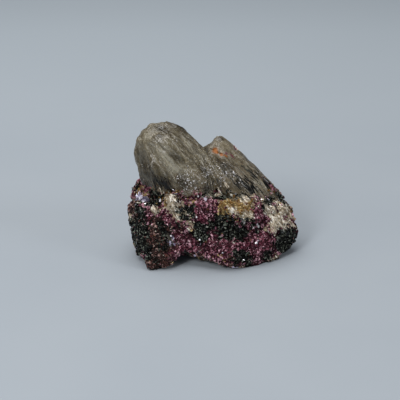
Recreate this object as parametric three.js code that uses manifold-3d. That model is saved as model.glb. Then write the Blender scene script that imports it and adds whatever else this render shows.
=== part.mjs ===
// A raw lepidolite specimen: a broken lump of pink mica rock with a mass of grey quartz grown on top.
// Units are millimetres, +Z is up, +X runs to the right along the lump and +Y to its back.
// The origin is on the surface that the lump rests on, under the middle of it.
//
// There are two solids:
//   lepidolite_matrix  the rock: mica, black grains and feldspar grown together, with its crystals fused on
//   quartz_mass        the quartz: a leaning crystal lobe and a lower ridge behind it, grown together
import * as THREE from 'three';
import { ConvexHull } from 'three/addons/math/ConvexHull.js';
import { ImprovedNoise } from 'three/addons/math/ImprovedNoise.js';
import { mergeVertices } from 'three/addons/utils/BufferGeometryUtils.js';
import Module from 'manifold-3d';

const CONTACT_GAP = 0.4; // left between the rock and the quartz that sits on it
const EDGE_SHARPNESS = 60; // higher keeps the broken edges of a lump crisper
const EVENING_ROUNDS = 24; // passes that spread a lump's points evenly over it
const GROUND_BLOCK = 200; // side of the block that cuts the resting faces flat
const CRYSTAL_SEED = 12;
const CRYSTAL_CLEARANCE = 1; // no crystal grows nearer than this to the ground or the quartz
const CRYSTAL_TILT = 0.5; // most that a crystal leans from the surface it grew on, in radians
const CRYSTAL_DEPTH = 0.17; // share of its size that a crystal's middle lies under the surface

const wasm = await Module();
wasm.setup();
const perlin = new ImprovedNoise();

// ---------------------------------------------------------------- solids

// A three.js geometry with its shared corners merged, so that only position is left.
function mergedOf(geometry) {
  const bare = geometry.clone();
  bare.deleteAttribute('normal');
  bare.deleteAttribute('uv');
  return mergeVertices(bare, 1e-4);
}

// A merged three.js geometry as a manifold-3d solid.
function solidOf(merged) {
  return new wasm.Manifold(new wasm.Mesh({
    numProp: 3,
    vertProperties: new Float32Array(merged.attributes.position.array),
    triVerts: new Uint32Array(merged.index.array),
  }));
}

// A manifold-3d solid as a three.js geometry.
function geometryOf(solid) {
  const mesh = solid.getMesh();
  const geometry = new THREE.BufferGeometry();
  geometry.setAttribute('position', new THREE.BufferAttribute(mesh.vertProperties, 3));
  geometry.setIndex(new THREE.BufferAttribute(mesh.triVerts, 1));
  geometry.computeVertexNormals();
  return geometry;
}

const joined = (solids) => solids.reduce((whole, next) => whole.add(next));

// The face planes of the convex hull of some corners, each plane once.
function hullPlanes(corners) {
  const hull = new ConvexHull().setFromPoints(corners);
  const planes = [];
  for (const { normal, constant } of hull.faces) {
    const known = planes.some((p) => p.normal.dot(normal) > 0.9995
      && Math.abs(p.constant - constant) < 0.05);
    if (!known) planes.push({ normal: normal.clone(), constant });
  }
  return planes;
}

// For each point of a merged geometry, the numbers of the points that it shares an edge with.
function neighboursOf(merged) {
  const neighbours = Array.from({ length: merged.attributes.position.count }, () => new Set());
  const index = merged.index.array;
  for (let i = 0; i < index.length; i += 3) {
    for (let k = 0; k < 3; k++) {
      neighbours[index[i + k]].add(index[i + (k + 1) % 3]);
      neighbours[index[i + (k + 1) % 3]].add(index[i + k]);
    }
  }
  return neighbours.map((set) => [...set]);
}

// One broken lump: the convex hull of its corners, with relief on it. The points of a geodesic ball are
// set on the hull and spread evenly over it, and the relief then moves each one in or out.
class Lump {
  constructor({ corners, detail, relief, crystals }) {
    const points = corners.map((corner) => new THREE.Vector3(...corner));
    this.centre = new THREE.Box3().setFromPoints(points).getCenter(new THREE.Vector3());
    this.planes = hullPlanes(points);
    this.relief = relief;
    this.crystals = crystals;
    this.ball = mergedOf(new THREE.IcosahedronGeometry(1, detail));
    this.directions = this.evenDirections();
  }

  // How far the hull reaches from its centre in one direction. Each plane is met at some distance, and
  // a high power mean of them rounds the edges a little, as wear does.
  reach(direction) {
    let sum = 0;
    for (const { normal, constant } of this.planes) {
      const towards = normal.dot(direction);
      if (towards > 1e-4) sum += (towards / (constant - normal.dot(this.centre))) ** EDGE_SHARPNESS;
    }
    return sum ** (-1 / EDGE_SHARPNESS);
  }

  // The directions of the ball's points, after each has moved again and again to the middle of its
  // neighbours on the hull.
  evenDirections() {
    const position = this.ball.attributes.position;
    const neighbours = neighboursOf(this.ball);
    let directions = neighbours.map((_, i) => new THREE.Vector3().fromBufferAttribute(position, i));
    for (let round = 0; round < EVENING_ROUNDS; round++) {
      const onHull = directions.map((d) => d.clone().multiplyScalar(this.reach(d)));
      directions = neighbours.map((near) => near
        .reduce((sum, n) => sum.add(onHull[n]), new THREE.Vector3()).normalize());
    }
    return directions;
  }

  pointTowards(direction, grow = 0) {
    const point = direction.clone().multiplyScalar(this.reach(direction)).add(this.centre);
    return point.addScaledVector(direction, this.relief(point) + grow);
  }

  // The normal of the hull face that a direction meets first.
  normalTowards(direction) {
    const meets = ({ normal, constant }) => normal.dot(direction) / (constant - normal.dot(this.centre));
    return this.planes.reduce((best, plane) => (meets(plane) > meets(best) ? plane : best)).normal;
  }

  solid(grow) {
    const geometry = this.ball.clone();
    this.directions.forEach((direction, i) => {
      geometry.attributes.position.setXYZ(i, ...this.pointTowards(direction, grow));
    });
    return solidOf(geometry);
  }

  // Whether a point lies inside the hull, or outside it by less than a margin.
  holds(point, margin) {
    return this.planes.every(({ normal, constant }) => normal.dot(point) - constant < margin);
  }
}

// ---------------------------------------------------------------- relief

// Perlin noise over a wavelength in millimetres, with its own offset.
const waves = (p, length, offset) => perlin.noise(
  p.x / length + offset, p.y / length + 1.7 * offset, p.z / length - offset);

// Crumbly rock: broad hollows and lumps, with smaller ones on them.
const rubble = (p) => 2.4 * waves(p, 12, 3.1) + 1.8 * waves(p, 6.5, 8.3) + 1.0 * waves(p, 3.6, 5.7);

// Broken quartz: ridges and grooves that run along the grain of the crystal, and broad swells.
function fibres(grain) {
  const along = grain.clone().normalize();
  const across = new THREE.Vector3(0, -1, 0).cross(along).normalize();
  const third = along.clone().cross(across);
  return (p) => {
    const a = p.dot(along);
    const b = p.dot(across);
    const c = p.dot(third);
    const ridge = (width, length, offset) => {
      const n = perlin.noise(a / length + offset, b / width + offset, c / width - offset);
      return 1 - 4 * Math.abs(n);
    };
    return 0.9 * ridge(9, 40, 4.4) + 0.6 * ridge(5, 26, 7.2) - 0.6 + 1.4 * waves(p, 11, 6.1);
  };
}

// ---------------------------------------------------------------- the quartz

const QUARTZ_LOBE = new Lump({
  detail: 7,
  relief: fibres(new THREE.Vector3(-0.66, 0.05, 0.75)),
  corners: [
    [-32.5, -2, 67], [-27, -2, 69], [-21.5, -2, 69.4], [-16, -2, 66.8], [-9.5, -2, 61.4], [-3, -2, 54.2],
    [-35.5, -2, 63.4], [-38.8, -2, 59], [-39.4, -2, 55], [-38, -2, 47], [-36, -2, 39],
    [-30, -11, 62], [-20, -12, 62], [-13.5, -12, 57], [-28, -14, 40], [-11, -15, 38], [-3, -13, 43],
    [5, -11, 33], [-32, -9, 34], [1, 0, 49.5],
    [-29, 9, 64], [-18, 10, 62], [-34, 9, 44], [-8, 11, 54], [0, 10, 34], [-28, 10, 30], [-20, -10, 26],
  ],
});

const QUARTZ_RIDGE = new Lump({
  detail: 6,
  relief: fibres(new THREE.Vector3(-0.72, 0.1, 0.69)),
  corners: [
    [-1.5, 12, 54], [1, 12, 58], [5, 12, 57.8], [8.5, 12, 55], [11.8, 12, 51], [17.6, 12, 44.2],
    [23.6, 12, 38.4], [30, 11, 34.2], [36, 8, 27.4], [37, 4, 24],
    [-6, 14, 48], [-10, 20, 32], [-4, 22, 28], [12, 22, 28], [26, 18, 26], [2, 19, 50],
    [0, -10, 42], [7, -9, 43], [4, -12.5, 36], [16, -12, 33], [27, -8, 30], [4, -10, 28], [24, -6, 24],
    [-4, -7, 43],
  ],
});

// Plates of quartz that stand out of the ridge as ledges, in line with its grain.
const RIDGE_PLATES = [
  [
    [8, 6, 54], [12.5, 11, 51], [26, 9.5, 38], [33.5, 5, 31], [29, 0, 30.5], [17, 4, 43.5],
    [8, 8, 46], [24, 8, 32], [30, 4, 26],
  ],
  [
    [5.5, -1.5, 50], [13, 2.5, 46.5], [24, -4.5, 35], [22.5, -9.5, 33.5], [14, -8, 40], [7, -6, 46],
    [7, 0, 44], [20, -3, 32],
  ],
  [
    [-3.5, -4, 52], [1.5, 3, 52.5], [6, -5, 46.5], [4.5, -11, 40], [0, -10, 42.5], [0, 2, 46], [2, -6, 38],
  ],
].map((corners) => new Lump({ detail: 2, relief: (p) => 0.35 * QUARTZ_RIDGE.relief(p), corners }));

const QUARTZ_LUMPS = [QUARTZ_LOBE, QUARTZ_RIDGE, ...RIDGE_PLATES];

// ---------------------------------------------------------------- the rock

const ROCK_CORE = new Lump({
  detail: 7,
  relief: rubble,
  crystals: { habit: 'mica', largest: 7, count: 12 },
  corners: [
    [-22, -22, 7], [-13, -22.5, 7], [-3, -23, 5.5], [7, -23.5, 3], [16, -22, 0], [28, -14.5, 2.5],
    [38, -4, 5], [40, 4, 16], [37, 8, 24], [33, 5, 28],
    [-37, -4, 5], [-40, -1, 14], [-40, 0, 27], [-37.5, 2, 32], [-36, -8, 30],
    [-24, -15, 32], [-10, -18, 34], [8, -17, 33], [26, -12, 29], [36, -3, 25],
    [-20, 0, 36], [10, 0, 36], [25, 6, 32],
    [-32, 16, 26], [-30, 18, 8], [-10, 23, 28], [15, 23, 26], [32, 19, 18], [29, 20, 6],
    [-34, -5, 5], [-24, 12, -1], [-12, 19, -1], [20, 17, -1], [28, 4, -1], [-16, -12, 3],
  ],
});

const LEFT_BLOCK = new Lump({
  detail: 4,
  relief: (p) => 0.7 * rubble(p),
  crystals: { habit: 'tourmaline', largest: 5, count: 5 },
  corners: [
    [-41.5, -2, 28], [-38, -13, 30], [-28, -18, 30], [-18, -16, 31], [-36, 4, 30],
    [-41.5, -4, 14], [-36.5, -16, 16], [-27, -22, 17], [-12, -20.5, 18],
    [-38.5, -8, 4], [-33, -18.5, 4], [-30.5, -26, -1], [-28, -26, -1], [-25.5, -25.5, 2], [-30, -19, -1],
    [-21, -24.5, 4], [-14, -22.5, 6], [-22, -10, 8], [-36, 6, 8],
  ],
});

const LEFT_NECK = new Lump({
  detail: 2,
  relief: (p) => 0.4 * rubble(p),
  corners: [
    [-37.5, 1, 37.5], [-34, -3, 38.5], [-39.5, -1, 33.5], [-42, 0, 28], [-31, -12, 36], [-38, -6, 31],
    [-35, 9, 37], [-38, 8, 30], [-20, -14, 35.5], [-20, -15, 28],
  ],
});

const RIGHT_BLOCK = new Lump({
  detail: 3,
  relief: (p) => 0.6 * rubble(p),
  crystals: { habit: 'feldspar', largest: 6, count: 4 },
  corners: [
    [24, -6, 30], [30, 4, 31], [35.5, 6, 25.5], [38.5, 5, 21.5], [42, 2, 13], [41.5, -4, 12],
    [26, -13, 24], [34, -10, 17], [22, -10, 14], [30, 14, 20], [38, -7, 13], [40, 8, 10], [29, -15, 17],
  ],
});

const LOWER_RIGHT_BLOCK = new Lump({
  detail: 3,
  relief: (p) => 0.6 * rubble(p),
  crystals: { habit: 'tourmaline', largest: 5, count: 3 },
  corners: [
    [44, -1, 8], [43, 3, 14], [41.5, -5, 5], [36, -9, 3.5], [38, -8, 12], [28, -15.5, 2.5], [27, -16.5, 12],
    [20, -20.5, 9], [22, -17, 17], [36, 6, 5], [30, 2, 3], [21, -20.5, -1], [25, -12, -1], [14, -17, -1],
    [15, -22, -1], [11, -22.5, 8],
  ],
});

const FRONT_KNOB = new Lump({
  detail: 3,
  relief: (p) => 0.5 * rubble(p),
  crystals: { habit: 'mica', largest: 6, count: 4 },
  corners: [
    [-9, -22, 8.5], [-5, -23, 13.5], [3, -25.5, 12.5], [11, -25, 9], [15.5, -23.5, 1], [8, -24.5, 2.5],
    [0, -24.5, 4.5], [17, -20.5, 14], [20, -20, 6], [2, -20, 17.5], [6, -17, 5], [14, -18, -1],
    [16, -20.5, -1],
  ],
});

const MIDDLE_KNOB = new Lump({
  detail: 3,
  relief: (p) => 0.4 * rubble(p),
  crystals: { habit: 'mica', largest: 5, count: 3 },
  corners: [
    [-9, -18, 34], [-4, -20.5, 32], [2, -19, 32], [-9, -20, 27], [-2, -22, 26], [4, -19.5, 24],
    [-3, -21, 18], [-6, -15, 24], [0, -14, 34],
  ],
});

const FELDSPAR_KNOB = new Lump({
  detail: 2,
  relief: (p) => 0.3 * rubble(p),
  corners: [
    [-24, -17, 33], [-20.5, -19.5, 35.5], [-16, -18.5, 34.5], [-16.5, -19.5, 30], [-21, -20, 29],
    [-22, -12, 35], [-18, -11, 35.5], [-20, -13, 27],
  ],
});

const FELDSPAR_SHELF = new Lump({
  detail: 3,
  relief: (p) => 0.5 * rubble(p),
  crystals: { habit: 'feldspar', largest: 5.5, count: 3 },
  corners: [
    [3, -17, 33], [4, -19.5, 26], [14, -20, 23.5], [25, -17, 22], [26, -12, 30], [20, -8, 34],
    [8, -10, 36], [14, -18, 30], [24, -6, 28],
  ],
});

const BACK_LEFT_BLOCK = new Lump({
  detail: 3,
  relief: (p) => 0.6 * rubble(p),
  crystals: { habit: 'mica', largest: 7, count: 3 },
  corners: [
    [-36, 10, 28], [-34, 17, 22], [-22, 24, 25], [-12, 25, 22], [-30, 19, 12], [-18, 25, 10],
    [-24, 10, 31], [-12, 12, 31], [-33, 6, 8], [-16, 16, 4],
  ],
});

const BACK_RIGHT_BLOCK = new Lump({
  detail: 3,
  relief: (p) => 0.6 * rubble(p),
  crystals: { habit: 'tourmaline', largest: 6, count: 3 },
  corners: [
    [4, 25, 20], [16, 26, 22], [28, 22, 18], [33, 18, 10], [24, 24, 5], [8, 25, 4], [14, 20, 28],
    [2, 18, 24], [12, 14, -1], [24, 14, -1], [27.5, 17, 32.5], [31.5, 14, 31], [36, 12, 25.5], [39, 9, 19],
  ],
});

const ROCK_LUMPS = [
  ROCK_CORE, LEFT_BLOCK, LEFT_NECK, RIGHT_BLOCK, LOWER_RIGHT_BLOCK, FRONT_KNOB, MIDDLE_KNOB, FELDSPAR_KNOB,
  FELDSPAR_SHELF, BACK_LEFT_BLOCK, BACK_RIGHT_BLOCK,
];

// ---------------------------------------------------------------- crystals on the rock

// The shape of one crystal of each mineral, from its size across. Its flat end faces +Y.
const HABITS = {
  mica: (size, grow) => hexagonalPrism(size, 0.35 * size, grow),
  tourmaline: (size, grow) => hexagonalPrism(0.7 * size, 0.7 * size, grow),
  feldspar: (size, grow) => block(size, 0.5 * size, 0.7 * size, grow),
};

function hexagonalPrism(across, height, grow) {
  const radius = across / 2 + grow;
  return new THREE.CylinderGeometry(radius, radius, height + 2 * grow, 6);
}

function block(x, y, z, grow) {
  return new THREE.BoxGeometry(x + 2 * grow, y + 2 * grow, z + 2 * grow);
}

// Scatters a lump's crystals over the part of its surface that shows. Each is sunk into the rock and
// leans a little, so that one edge of it stands out as a step.
function crystalsOf(lump) {
  const placed = [];
  const { habit, largest, count } = lump.crystals ?? { count: 0 };
  while (placed.length < count) {
    const out = lump.directions[Math.floor(random() * lump.directions.length)];
    const point = lump.pointTowards(out);
    const shows = point.z > CRYSTAL_CLEARANCE + largest / 2
      && !QUARTZ_LUMPS.some((quartz) => quartz.holds(point, CRYSTAL_CLEARANCE + largest / 2))
      && !ROCK_LUMPS.some((other) => other !== lump && other.holds(point, 0));
    if (!shows) continue;
    const size = largest * (0.65 + 0.35 * random());
    const normal = lump.normalTowards(out);
    point.addScaledVector(normal, -CRYSTAL_DEPTH * size);
    const lean = new THREE.Euler(
      CRYSTAL_TILT * (2 * random() - 1), 2 * Math.PI * random(), CRYSTAL_TILT * (2 * random() - 1));
    const turn = new THREE.Quaternion().setFromUnitVectors(new THREE.Vector3(0, 1, 0), normal)
      .multiply(new THREE.Quaternion().setFromEuler(lean));
    const place = new THREE.Matrix4().compose(point, turn, new THREE.Vector3(1, 1, 1));
    placed.push({ habit, size, place });
  }
  return placed;
}

THREE.MathUtils.seededRandom(CRYSTAL_SEED);
const random = () => THREE.MathUtils.seededRandom();
const CRYSTALS = ROCK_LUMPS.flatMap(crystalsOf);

// ---------------------------------------------------------------- build

const rockSolid = (grow) => joined([
  ...ROCK_LUMPS.map((lump) => lump.solid(grow)),
  ...CRYSTALS.map(({ habit, size, place }) => (
    solidOf(mergedOf(HABITS[habit](size, grow).applyMatrix4(place))))),
]);
const quartzSolid = () => joined(QUARTZ_LUMPS.map((lump) => lump.solid(0)));
const ground = solidOf(mergedOf(new THREE.BoxGeometry(GROUND_BLOCK, GROUND_BLOCK, GROUND_BLOCK)
  .translate(0, 0, -GROUND_BLOCK / 2)));

const matrixMesh = new THREE.Mesh(
  geometryOf(rockSolid(0).subtract(ground)),
  new THREE.MeshStandardMaterial({ color: 0x573f42, roughness: 0.75, metalness: 0 }),
);
matrixMesh.name = 'lepidolite_matrix';

const quartzMesh = new THREE.Mesh(
  geometryOf(quartzSolid().subtract(rockSolid(CONTACT_GAP))),
  new THREE.MeshStandardMaterial({ color: 0x75716a, roughness: 0.35, metalness: 0 }),
);
quartzMesh.name = 'quartz_mass';

const specimen = new THREE.Group();
specimen.name = 'raw_lepidolite';
specimen.add(matrixMesh, quartzMesh);

// The corners above are set out from a point near the middle, and this puts the origin exactly there.
const middle = new THREE.Box3().setFromObject(specimen).getCenter(new THREE.Vector3());
specimen.position.set(-middle.x, -middle.y, 0);

export default specimen;
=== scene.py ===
import math
import bmesh
import bpy
import numpy as np
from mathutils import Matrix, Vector
from mathutils.bvhtree import BVHTree


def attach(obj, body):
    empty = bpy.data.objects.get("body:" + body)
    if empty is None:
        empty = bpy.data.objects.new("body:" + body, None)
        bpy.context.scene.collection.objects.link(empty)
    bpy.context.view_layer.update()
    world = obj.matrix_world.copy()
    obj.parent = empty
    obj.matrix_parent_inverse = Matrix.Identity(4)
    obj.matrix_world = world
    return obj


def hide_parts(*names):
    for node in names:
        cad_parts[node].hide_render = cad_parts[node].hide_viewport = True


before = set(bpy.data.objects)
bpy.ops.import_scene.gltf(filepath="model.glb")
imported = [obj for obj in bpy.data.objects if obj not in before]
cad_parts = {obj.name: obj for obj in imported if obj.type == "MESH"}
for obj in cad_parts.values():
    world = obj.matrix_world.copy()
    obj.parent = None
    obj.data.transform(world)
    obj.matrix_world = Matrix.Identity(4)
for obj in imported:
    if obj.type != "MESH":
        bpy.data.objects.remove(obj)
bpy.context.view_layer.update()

MM = 0.001


# ------------------------------------------------------------------ camera

# A long lens looks down on the front of the specimen at a low angle, as a mineral is usually shown. It
# stands far off, so that the lump is drawn with hardly any perspective.
CAMERA_ELEVATION = math.radians(22)
CAMERA_DISTANCE = 600 * MM
CAMERA_TARGET = Vector((-6.8, 0.3, 27.2)) * MM
CAMERA_LENS = 108

towards_camera = Vector((0, -math.cos(CAMERA_ELEVATION), math.sin(CAMERA_ELEVATION)))
view_right = Vector((1, 0, 0))
view_up = Vector((0, math.sin(CAMERA_ELEVATION), math.cos(CAMERA_ELEVATION)))

camera = bpy.data.objects.new("camera", bpy.data.cameras.new("camera"))
camera.data.lens = CAMERA_LENS
camera.location = CAMERA_TARGET + CAMERA_DISTANCE * towards_camera
camera.rotation_euler = towards_camera.to_track_quat("Z", "Y").to_euler()
camera.data.clip_start = 10 * MM
bpy.context.collection.objects.link(camera)
bpy.context.scene.camera = camera
bpy.context.scene.view_settings.view_transform = "Standard"


# ------------------------------------------------------------------ floor and light

# The specimen lies on a sheet of pale blue-grey card, under a large soft light from above. A smaller light
# at the front left makes the glints on the crystals, and a weak one at the right opens the shadows.
FLOOR_SIZE = 3.0
CARD_TINTS = ("#9fa7af", "#aab1b7")
# Painted light: the paler tint of the far end of the card, and the depths (m) over which it fades in.
CARD_PAINTED_LIGHT_TINT = "#b3bcc3"
CARD_PAINTED_LIGHT_FADE = (0.05, 0.45)
ROOM_COLOUR = "#c3c8cf"
ROOM_STRENGTH = 0.3


def linear(hex_colour):
    """An sRGB hex colour as linear RGBA: each channel is undone with the sRGB curve."""
    srgb = [int(hex_colour[i:i + 2], 16) / 255 for i in (1, 3, 5)]
    return tuple(c / 12.92 if c <= 0.04045 else ((c + 0.055) / 1.055) ** 2.4 for c in srgb) + (1.0,)


def add_node(tree, kind, inputs=None, **settings):
    """Adds a node, with its settings, and its inputs as values or as the sockets they are linked to."""
    node = tree.nodes.new(kind)
    for name, value in settings.items():
        setattr(node, name, value)
    for socket, value in (inputs or {}).items():
        if isinstance(value, bpy.types.NodeSocket):
            tree.links.new(value, node.inputs[socket])
        else:
            node.inputs[socket].default_value = value
    return node


def new_material(name):
    """An empty material, its node tree and its output node."""
    material = bpy.data.materials.new(name)
    material.use_nodes = True
    material.node_tree.nodes.clear()
    return material, material.node_tree, add_node(material.node_tree, "ShaderNodeOutputMaterial")


floor_mesh = bpy.data.meshes.new("floor")
half = FLOOR_SIZE / 2
floor_corners = [(-half, -half, 0), (half, -half, 0), (half, half, 0), (-half, half, 0)]
floor_mesh.from_pydata(floor_corners, [], [(0, 1, 2, 3)])
floor = bpy.data.objects.new("floor", floor_mesh)
bpy.context.collection.objects.link(floor)

# Matt coated card: a broad weak cloudiness keeps it from looking like a flat colour. Towards the back painted
# light pales it, as if the card swept up towards the lamp there.
card, tree, output = new_material("matt_card")
position = add_node(tree, "ShaderNodeTexCoord").outputs["Object"]
clouds = add_node(tree, "ShaderNodeTexNoise", {"Vector": position, "Scale": 9.0, "Detail": 3.0})
near_tint = add_node(tree, "ShaderNodeMix", {
    0: clouds.outputs["Fac"], 6: linear(CARD_TINTS[0]), 7: linear(CARD_TINTS[1])}, data_type="RGBA")
depth = add_node(tree, "ShaderNodeSeparateXYZ", {"Vector": position})
away = add_node(tree, "ShaderNodeMapRange", {
    "Value": depth.outputs["Y"], "From Min": CARD_PAINTED_LIGHT_FADE[0], "From Max": CARD_PAINTED_LIGHT_FADE[1]})
painted_light_tint = add_node(tree, "ShaderNodeMix", {
    0: away.outputs[0], 6: near_tint.outputs[2], 7: linear(CARD_PAINTED_LIGHT_TINT)}, data_type="RGBA")
surface = add_node(tree, "ShaderNodeBsdfPrincipled", {"Base Color": painted_light_tint.outputs[2], "Roughness": 0.85})
tree.links.new(surface.outputs[0], output.inputs["Surface"])
floor_mesh.materials.append(card)

LIGHTS = [
    # name, place from the camera's target (m), size (m), power (W)
    ("overhead_softbox", (-0.16, 0.10, 0.92), 1.1, 7.6),
    ("front_softbox", (-0.45, -0.75, 0.60), 0.35, 5.0),
    ("side_softbox", (0.70, -0.35, 0.40), 0.30, 1.2),
]
for name, place, size, power in LIGHTS:
    lamp = bpy.data.lights.new(name, "AREA")
    lamp.shape = "DISK"
    lamp.size = size
    lamp.energy = power
    holder = bpy.data.objects.new(name, lamp)
    holder.location = CAMERA_TARGET + Vector(place)
    holder.rotation_euler = Vector(place).to_track_quat("Z", "Y").to_euler()
    bpy.context.collection.objects.link(holder)

room = bpy.data.worlds.new("room")
room.use_nodes = True
room.node_tree.nodes["Background"].inputs["Color"].default_value = linear(ROOM_COLOUR)
room.node_tree.nodes["Background"].inputs["Strength"].default_value = ROOM_STRENGTH
bpy.context.scene.world = room


# ------------------------------------------------------------------ rock

# The lower half: lepidolite mica, black tourmaline and feldspar grown together in one crumbling lump,
# broken out of the ground on every side, so that its whole surface is the ends of grains.
ROCK_VOXEL = 0.52 * MM
ROCK_SMOOTHING = 6
FOOT_HEIGHT = 0.2 * MM
FOOT_FADE = 0.6 * MM


def hashed(cells, seed):
    """Numbers from 0 to 1 for whole-number cells: their coordinates are multiplied by large primes and
    the bits are mixed."""
    bits = np.full(cells.shape[:-1], seed * 2654435761)
    for axis, prime in enumerate((73856093, 19349663, 83492791)):
        bits = bits ^ (cells[..., axis] * prime)
    bits = bits & 0xFFFFFFFF
    for shift, factor in ((16, 0x45D9F3B), (15, 0x45D9F3B), (16, 0x27D4EB2D)):
        bits = ((bits ^ (bits >> shift)) * factor) & 0xFFFFFFFF
    return (bits & 0xFFFFFF) / 0xFFFFFF


def waves(points, size, seed):
    """Smooth noise from about -1 to 1. Each corner of a grid of the given size has a random slope, and a
    point blends the slopes of its eight corners with a curve that is flat at both ends."""
    scaled = points / size + 31.7 * seed
    corner = np.floor(scaled).astype(np.int64)
    inside = scaled - corner
    ease = inside ** 3 * (inside * (inside * 6 - 15) + 10)
    total = np.zeros(len(points))
    for step in np.ndindex(2, 2, 2):
        step = np.array(step)
        slope = np.stack([hashed(corner + step, seed * 10 + k) for k in range(3)], axis=-1) * 2 - 1
        weight = np.prod(np.where(step == 1, ease, 1 - ease), axis=-1)
        total += weight * np.sum(slope * (inside - step), axis=-1)
    return total * 1.6


def cleavage(points, size, seed):
    """Flat breaks at random tilts. Each grid cell has one random seed point and one random slope, and a
    point takes the height of the slope through the seed point nearest to it."""
    scaled = points / size
    cell = np.floor(scaled).astype(np.int64)
    nearest = np.full(len(points), np.inf)
    height = np.zeros(len(points))
    for step in np.ndindex(3, 3, 3):
        near = cell + np.array(step) - 1
        seed_point = near + np.stack([hashed(near, seed * 10 + k) for k in range(3)], axis=-1)
        slope = np.stack([hashed(near, seed * 10 + 3 + k) for k in range(3)], axis=-1) * 2 - 1
        offset = scaled - seed_point
        distance = np.sum(offset ** 2, axis=-1)
        closer = distance < nearest
        nearest = np.where(closer, distance, nearest)
        height = np.where(closer, np.sum(slope * offset, axis=-1) + hashed(near, seed * 10 + 6) - 0.5, height)
    return height


def fine_copy(node, voxel, smoothing, name):
    """A copy of a CAD node with its doubles merged, remeshed finely and smoothed."""
    merged = bmesh.new()
    merged.from_mesh(bpy.data.objects[node].data)
    bmesh.ops.remove_doubles(merged, verts=merged.verts, dist=1e-6)
    mesh = bpy.data.meshes.new(name)
    merged.to_mesh(mesh)
    merged.free()
    piece = bpy.data.objects.new(name, mesh)
    bpy.context.collection.objects.link(piece)
    remesh = piece.modifiers.new("remesh", "REMESH")
    remesh.mode = "VOXEL"
    remesh.voxel_size = voxel
    smooth = piece.modifiers.new("smooth", "SMOOTH")
    smooth.factor = 0.5
    smooth.iterations = smoothing
    finished = bpy.data.meshes.new_from_object(piece.evaluated_get(bpy.context.evaluated_depsgraph_get()))
    piece.modifiers.clear()
    piece.data = finished
    finished.name = name
    return piece


def points_and_normals(mesh):
    """The vertices of a mesh and their normals, as arrays."""
    points = np.empty(3 * len(mesh.vertices), dtype=np.float32)
    mesh.vertices.foreach_get("co", points)
    normals = np.empty(3 * len(mesh.vertices), dtype=np.float32)
    mesh.vertex_normals.foreach_get("vector", normals)
    return points.reshape(-1, 3).astype(np.float64), normals.reshape(-1, 3).astype(np.float64)


def put_points(mesh, points):
    """Moves the vertices of a mesh to new places."""
    mesh.vertices.foreach_set("co", points.astype(np.float32).ravel())
    mesh.update()


def put_attribute(mesh, name, values):
    """Stores one number a vertex, for a material to read."""
    layer = mesh.attributes.new(name, "FLOAT", "POINT")
    layer.data.foreach_set("value", np.asarray(values, dtype=np.float32))


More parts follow.
